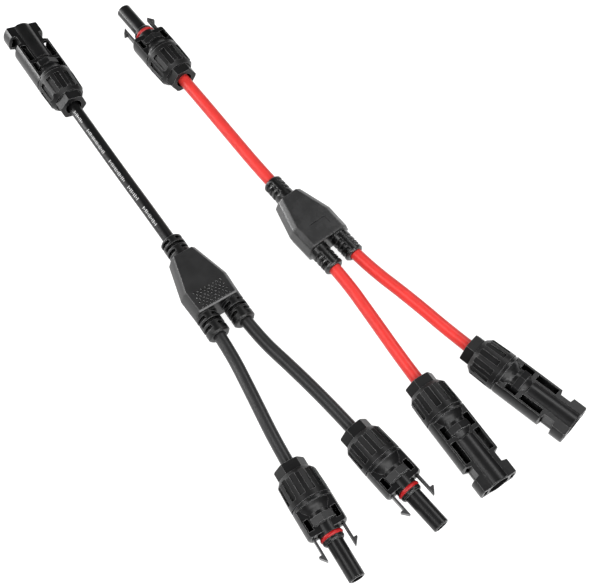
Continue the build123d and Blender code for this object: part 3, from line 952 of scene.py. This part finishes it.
@dataclass
class Lead:
    """One Y lead: three cables that meet in a branch body.

    Each route runs from the connector to the branch body, in millimetres. Lengths are in metres.
    """

    colour: LeadColour
    routes: dict[Arm, list[Point]]
    neck_ends: dict[Arm, float]
    lengths: dict[Arm, float]
    trunk_colour: Colour3
    leg_colour: Colour3
    body_colour: Colour3
    body_thick: float
    body_length: float
    body_roughness: float = 0.38
    body_gloss: float = 0.40
    body_edge_mm: float = 0.8
    # Strengths of the painted highlight along the body's edges and on its rim.
    body_edge_highlight: float = 0.5
    rim_highlight: float = 0.0
    grooves: tuple[EngravedLine, ...] = ()
    body_shade_reach_mm: float = 2.2
    grip: GripField | None = None
    prints: tuple[PrintLine, ...] = ()
    diameter: float = 6.0 * MM
    sheath_in_body: float = 4.0 * MM
    curve_order: int = 3
    resolution: int = 12
    bevel_steps: int = 6

    def cable(self, arm: Arm, palette: Palette) -> bpy.types.Object:
        """Sheath of one cable, on a smooth line through its route.

        Args:
            arm: which cable.
            palette: the finishes.

        Returns:
            The curve object.
        """
        name = f"{self.colour.value}_{arm.value}_sheath"
        line = bpy.data.curves.new(name, "CURVE")
        line.dimensions = "3D"
        spline = line.splines.new("NURBS")
        route = [Vector(p) * MM for p in self.routes[arm]]
        spline.points.add(len(route) - 1)
        for point, corner in zip(spline.points, route):
            point.co = (*corner, 1.0)
        spline.order_u = self.curve_order
        spline.use_endpoint_u = True
        spline.resolution_u = self.resolution
        line.bevel_depth = self.diameter / 2
        line.bevel_resolution = self.bevel_steps
        line.use_fill_caps = True
        line.materials.append(palette.sheath[self.colour, arm])
        piece = bpy.data.objects.new(name, line)
        bpy.context.scene.collection.objects.link(piece)
        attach(piece, "leads")
        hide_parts(f"{self.colour.value}_{arm.value}_cable")
        inward = (route[-2] - route[-1]).normalized()
        tuple(route[-1] + inward * self.neck_ends[arm])
        return piece

    def body_axes(self) -> tuple[Vector, float]:
        """Place of the branch body.

        Returns:
            The middle of its narrow end, and the heading of its length about Z.
        """
        before, last = (Vector(p) * MM for p in self.routes[Arm.TRUNK][-2:])
        along = (last - before).normalized()
        return last - along * self.sheath_in_body, math.atan2(along.y, along.x)

    def body_finish(self) -> MouldedPlastic:
        """Finish of the branch body, with what depends on its place.

        Returns:
            The finish, not yet made.
        """
        origin, heading = self.body_axes()
        marks = BranchMarks(tuple(origin), heading, span_mm=self.body_length / MM,
                            top_mm=self.body_thick / MM / 2, rim_highlight=self.rim_highlight,
                            grooves=self.grooves)
        return MouldedPlastic(f"{self.colour.value}_branch_plastic", self.body_colour,
                              roughness=self.body_roughness, gloss=self.body_gloss,
                              edge_mm=self.body_edge_mm, edge_highlight_strength=self.body_edge_highlight,
                              shade_reach_mm=self.body_shade_reach_mm, marks=marks)

    def centreline(self, arm: Arm) -> list[Vector]:
        """Points along the smooth line of a cable.

        Args:
            arm: which cable.

        Returns:
            The points, from the connector to the branch body.
        """
        source = bpy.data.objects[f"{self.colour.value}_{arm.value}_sheath"]
        plain = source.data.copy()
        plain.bevel_depth = 0.0
        holder = bpy.data.objects.new("line", plain)
        bpy.context.scene.collection.objects.link(holder)
        evaluated = holder.evaluated_get(bpy.context.evaluated_depsgraph_get())
        mesh = bpy.data.meshes.new_from_object(evaluated)
        points = [v.co.copy() for v in mesh.vertices]
        bpy.data.meshes.remove(mesh)
        bpy.data.objects.remove(holder)
        bpy.data.curves.remove(plain)
        return points

    def build(self, palette: Palette) -> list[bpy.types.Object]:
        """Builds the lead's cables and what is moulded or printed on them.

        Args:
            palette: the finishes.

        Returns:
            The objects.
        """
        pieces = [self.cable(arm, palette) for arm in self.routes]
        if self.grip:
            pieces.append(self.grip.build(self, palette))
        return pieces + [line.build(self, palette) for line in self.prints]


# ---------------------------------------------------------------- studio

@dataclass(frozen=True)
class Lamp:
    """Soft rectangular lamp aimed at the middle of the leads.

    Its level is 1 where its face is white. Its place and size are in metres.
    """

    name: str
    at: Point
    size: tuple[float, float]
    level: float

    def build(self) -> None:
        """Adds the lamp."""
        data = bpy.data.lights.new(self.name, "AREA")
        data.shape = "RECTANGLE"
        data.size, data.size_y = self.size
        data.energy = self.level * math.pi * self.size[0] * self.size[1]
        lamp = bpy.data.objects.new(self.name, data)
        bpy.context.scene.collection.objects.link(lamp)
        aim = (-Vector(self.at)).to_track_quat("-Z", "Y")
        lamp.matrix_world = Matrix.Translation(self.at) @ aim.to_matrix().to_4x4()


@dataclass
class Studio:
    """Pale floor, soft lamps and the camera.

    Angles are in degrees, places in metres, and the lens and sensor in millimetres.
    """

    camera_at: Point = (-0.1594, -0.2607, 0.5010)
    pitch: float = 61.6
    heading: Point = (0.559, 0.829, 0.0)
    roll: float = 2.6
    lens: float = 74.5
    sensor: float = 36.0
    clip: tuple[float, float] = (0.01, 100.0)
    floor_half: float = 40.0
    floor_drop: float = 0.0002
    floor_colour: Colour3 = (0.50, 0.50, 0.50)
    floor_roughness: float = 0.9
    floor_glow: float = 0.85
    bounce_colour: Colour3 = (0.25, 0.25, 0.25)
    world_strength: float = 0.08
    lamps: tuple[Lamp, ...] = (
        Lamp("back_left_strip", (-0.66, 0.74, 0.10), (0.6, 0.16), 21.0),
        Lamp("back_left_panel", (-0.66, 0.74, 0.38), (0.6, 0.40), 4.5),
        Lamp("left_panel", (-0.72, 0.14, 0.84), (0.5, 0.4), 4.2),
        Lamp("right_panel", (0.62, 0.14, 0.80), (0.5, 0.35), 5.0),
        Lamp("front_panel", (-0.15, -0.75, 0.95), (1.4, 0.6), 4.1),
        Lamp("front_strip", (0.05, -0.95, 0.42), (1.0, 0.07), 22.0),
    )

    def camera(self) -> None:
        """Camera over the near end of the leads."""
        data = bpy.data.cameras.new("camera")
        data.lens = self.lens
        data.sensor_width = self.sensor
        data.clip_start, data.clip_end = self.clip
        camera = bpy.data.objects.new("camera", data)
        bpy.context.scene.collection.objects.link(camera)
        level = Vector(self.heading).normalized()
        down = math.radians(self.pitch)
        forward = level * math.cos(down) - UP * math.sin(down)
        right = forward.cross(UP).normalized()
        up = right.cross(forward)
        lean = math.radians(self.roll)
        across = right * math.cos(lean) + up * math.sin(lean)
        upward = up * math.cos(lean) - right * math.sin(lean)
        turn = Matrix((across, upward, -forward)).transposed()
        camera.matrix_world = Matrix.Translation(self.camera_at) @ turn.to_4x4()
        bpy.context.scene.camera = camera

    def world(self) -> None:
        """Dim even surroundings."""
        world = bpy.data.worlds.new("studio")
        world.use_nodes = True
        bpy.context.scene.world = world
        background = world.node_tree.nodes["Background"]
        background.inputs["Color"].default_value = (1.0, 1.0, 1.0, 1.0)
        background.inputs["Strength"].default_value = self.world_strength

    def floor(self) -> None:
        """Wide pale floor: white with light shadows to look at, grey as a reflector."""
        shape = bmesh.new()
        bmesh.ops.create_grid(shape, x_segments=1, y_segments=1, size=self.floor_half)
        bmesh.ops.translate(shape, vec=(0, 0, -self.floor_drop), verts=shape.verts)
        mesh = bpy.data.meshes.new("floor")
        shape.to_mesh(mesh)
        shape.free()
        finish = Finish("pale_floor")
        path = finish.node("ShaderNodeLightPath")
        seen = reduce(Wire.most, [Wire(finish, path.outputs[f"Is {kind} Ray"])
                                  for kind in ("Camera", "Glossy", "Transmission")])
        finish.set(Base_Color=finish.blend(seen, self.bounce_colour, self.floor_colour),
                   Roughness=self.floor_roughness, Specular_IOR_Level=0.0,
                   Emission_Color=(1.0, 1.0, 1.0, 1.0), Emission_Strength=seen * self.floor_glow)
        mesh.materials.append(finish.material)
        floor = bpy.data.objects.new("floor", mesh)
        bpy.context.scene.collection.objects.link(floor)

    def build(self) -> None:
        """Sets up the studio."""
        bpy.context.scene.view_settings.view_transform = "Standard"
        self.world()
        self.floor()
        for lamp in self.lamps:
            lamp.build()
        self.camera()


# ---------------------------------------------------------------- what is built

PRINT_GROUPS = ((0.0935, 0.1015), (0.0719, 0.0885), (0.0535, 0.0674), (0.0409, 0.0501),
                (0.0241, 0.0363))

LEADS = (
    Lead(LeadColour.BLACK, {
        Arm.TRUNK: [(-50.1, 124.7, 9.5), (-49.1, 94.6, 9.5), (-47.7, 63.1, 8.3), (-45.8, 29.6, 7.0),
                    (-44.8, -0.4, 7.0)],
        Arm.LEFT: [(-57.2, -128.0, 9.5), (-56.45, -102.0, 9.5), (-52.9, -72.4, 8.4),
                   (-50.1, -47.0, 7.0), (-50.7, -23.6, 7.0)],
        Arm.RIGHT: [(-21.6, -128.2, 9.5), (-25.3, -102.5, 9.5), (-30.4, -73.9, 8.4),
                    (-36.4, -47.1, 7.0), (-37.2, -23.1, 7.0)],
    }, {Arm.TRUNK: 15.6 * MM, Arm.LEFT: 16.3 * MM, Arm.RIGHT: 16.3 * MM},
        {Arm.TRUNK: 0.1253, Arm.LEFT: 0.1048, Arm.RIGHT: 0.1065},
        # One black sheath in two shades: the trunk is darkened with painted shade, the legs paled
        # with painted light.
        trunk_colour=(0.004, 0.004, 0.0042), leg_colour=(0.022, 0.022, 0.0224),
        body_colour=(0.017, 0.017, 0.0173), body_thick=14.0 * MM, body_length=31.5 * MM,
        rim_highlight=0.35,
        grip=GripField(), prints=(PrintLine(Arm.TRUNK, PRINT_GROUPS),)),
    Lead(LeadColour.RED, {
        Arm.TRUNK: [(4.1, 111.2, 9.5), (6.5, 83.3, 9.5), (9.0, 55.6, 8.1), (11.65, 26.9, 6.5),
                    (14.7, 2.1, 6.5)],
        Arm.LEFT: [(13.5, -124.6, 9.5), (12.55, -98.6, 9.5), (13.3, -69.9, 8.2), (14.0, -42.3, 6.5),
                   (11.3, -20.45, 6.5)],
        Arm.RIGHT: [(47.4, -121.4, 9.5), (39.7, -96.6, 9.5), (34.0, -69.9, 8.2), (26.1, -40.8, 6.5),
                    (23.4, -19.0, 6.5)],
    }, {Arm.TRUNK: 17.0 * MM, Arm.LEFT: 16.5 * MM, Arm.RIGHT: 16.5 * MM},
        {Arm.TRUNK: 0.1097, Arm.LEFT: 0.1044, Arm.RIGHT: 0.1054},
        trunk_colour=(0.72, 0.042, 0.036), leg_colour=(0.72, 0.042, 0.036),
        body_colour=(0.022, 0.022, 0.0224), body_thick=13.0 * MM, body_length=30.3 * MM,
        body_roughness=0.27, body_gloss=0.62, body_edge_mm=1.3, body_edge_highlight=0.25,
        grooves=(EngravedLine((20.1, 1.0), (0.18, 4.4)), EngravedLine((22.2, 5.5), (2.0, 0.18)))),
)

CONNECTORS = (
    Connector(LeadColour.BLACK, Arm.TRUNK, Half.RECEPTACLE),
    Connector(LeadColour.BLACK, Arm.LEFT, Half.PLUG),
    Connector(LeadColour.BLACK, Arm.RIGHT, Half.PLUG),
    Connector(LeadColour.RED, Arm.TRUNK, Half.PLUG),
    Connector(LeadColour.RED, Arm.LEFT, Half.RECEPTACLE),
    Connector(LeadColour.RED, Arm.RIGHT, Half.RECEPTACLE),
)


def main() -> None:
    """Dresses the nodes, builds the pieces and sets up the studio."""
    palette = Palette(LEADS)
    for name, node in frame["nodes"].items():
        dress_node(node, palette.for_node(name))
        LOG.info("dressed %s", name)
    for assembly in (*LEADS, *CONNECTORS):
        for piece in assembly.build(palette):
            LOG.info("built %s", piece.name)
    Studio().build()


if __name__ == "__main__":
    main()
